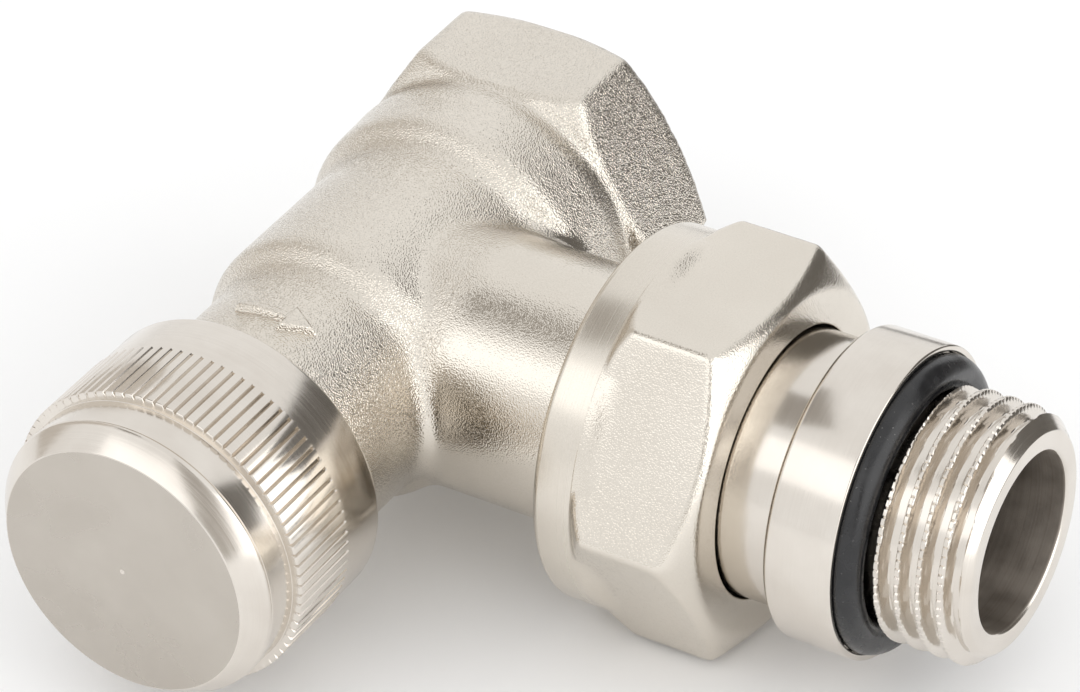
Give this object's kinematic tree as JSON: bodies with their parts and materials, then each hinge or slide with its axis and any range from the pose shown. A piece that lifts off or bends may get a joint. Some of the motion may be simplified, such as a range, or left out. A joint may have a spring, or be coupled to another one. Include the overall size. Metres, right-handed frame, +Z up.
{
  "type": "lockshield radiator valve",
  "caption": "Angle lockshield radiator valve in nickel-plated brass: knurled protective cap over a key-turned spindle, union nut, threaded tailpiece with O-ring and hexagon pipe socket.",
  "frame": {"origin": "on the axis of the pipe socket, where its thread starts at the mouth", "axes": "+Y out of the pipe socket towards the wall, -Y through the protective cap into the room, +X out of the tailpiece towards the radiator, +Z up"},
  "size_m": [0.0741, 0.065, 0.0314],
  "materials": {
    "forged_nickel": "nickel plated, blasted forging",
    "turned_nickel": "nickel plated, turned satin",
    "bare_brass": "turned brass",
    "seal_rubber": "smooth moulded EPDM",
    "fibre_gasket": "flat gasket sheet",
    "spring_steel": "spring steel"
  },
  "bodies": {
    "valve": {"valve_body": "forged_nickel", "bonnet": "bare_brass", "bonnet_o_ring": "seal_rubber", "spindle_clip": "spring_steel"},
    "tail": {"tailpiece": "turned_nickel", "tailpiece_o_ring": "seal_rubber", "union_o_ring": "seal_rubber", "tail_snap_ring": "spring_steel"},
    "nut": {"union_nut": "forged_nickel"},
    "cone": {"valve_cone": "bare_brass", "seat_washer": "seal_rubber", "washer_screw": "bare_brass"},
    "spindle": {"spindle": "bare_brass", "spindle_o_ring_lower": "seal_rubber", "spindle_o_ring_upper": "seal_rubber"},
    "cap_seal": {"cap_gasket": "fibre_gasket"},
    "cap": {"protective_cap": "turned_nickel"}
  },
  "joints": [
    {"name": "tail_draw", "type": "slide", "parent": "valve", "child": "tail", "axis": [1, 0, 0], "range_m": [0, 0.0073]},
    {"name": "nut_turn", "type": "hinge", "parent": "tail", "child": "nut", "pos_m": [0.03, -0.0265, 0], "axis": [1, 0, 0], "range_deg": [0, 1440]},
    {"name": "cone_lift", "type": "slide", "parent": "valve", "child": "cone", "axis": [0, -1, 0], "range_m": [0, 0.004]},
    {"name": "spindle_turn", "type": "hinge", "parent": "cone", "child": "spindle", "pos_m": [0, -0.045, 0], "axis": [0, -1, 0], "range_deg": [0, 1480]},
    {"name": "cap_seal_lift", "type": "slide", "parent": "valve", "child": "cap_seal", "axis": [0, -1, 0], "range_m": [0, 0.0101]},
    {"name": "cap_turn", "type": "hinge", "parent": "cap_seal", "child": "cap", "pos_m": [0, -0.055, 0], "axis": [0, -1, 0], "range_deg": [0, 3600]}
  ],
  "couplings": [
    {"joint": "tail_draw", "follows": "nut_turn", "m_per_rad": 0.00028871},
    {"joint": "spindle_turn", "follows": "cone_lift", "rad_per_m": 6283.2},
    {"joint": "cap_seal_lift", "follows": "cap_turn", "m_per_rad": 0.00015915}
  ]
}
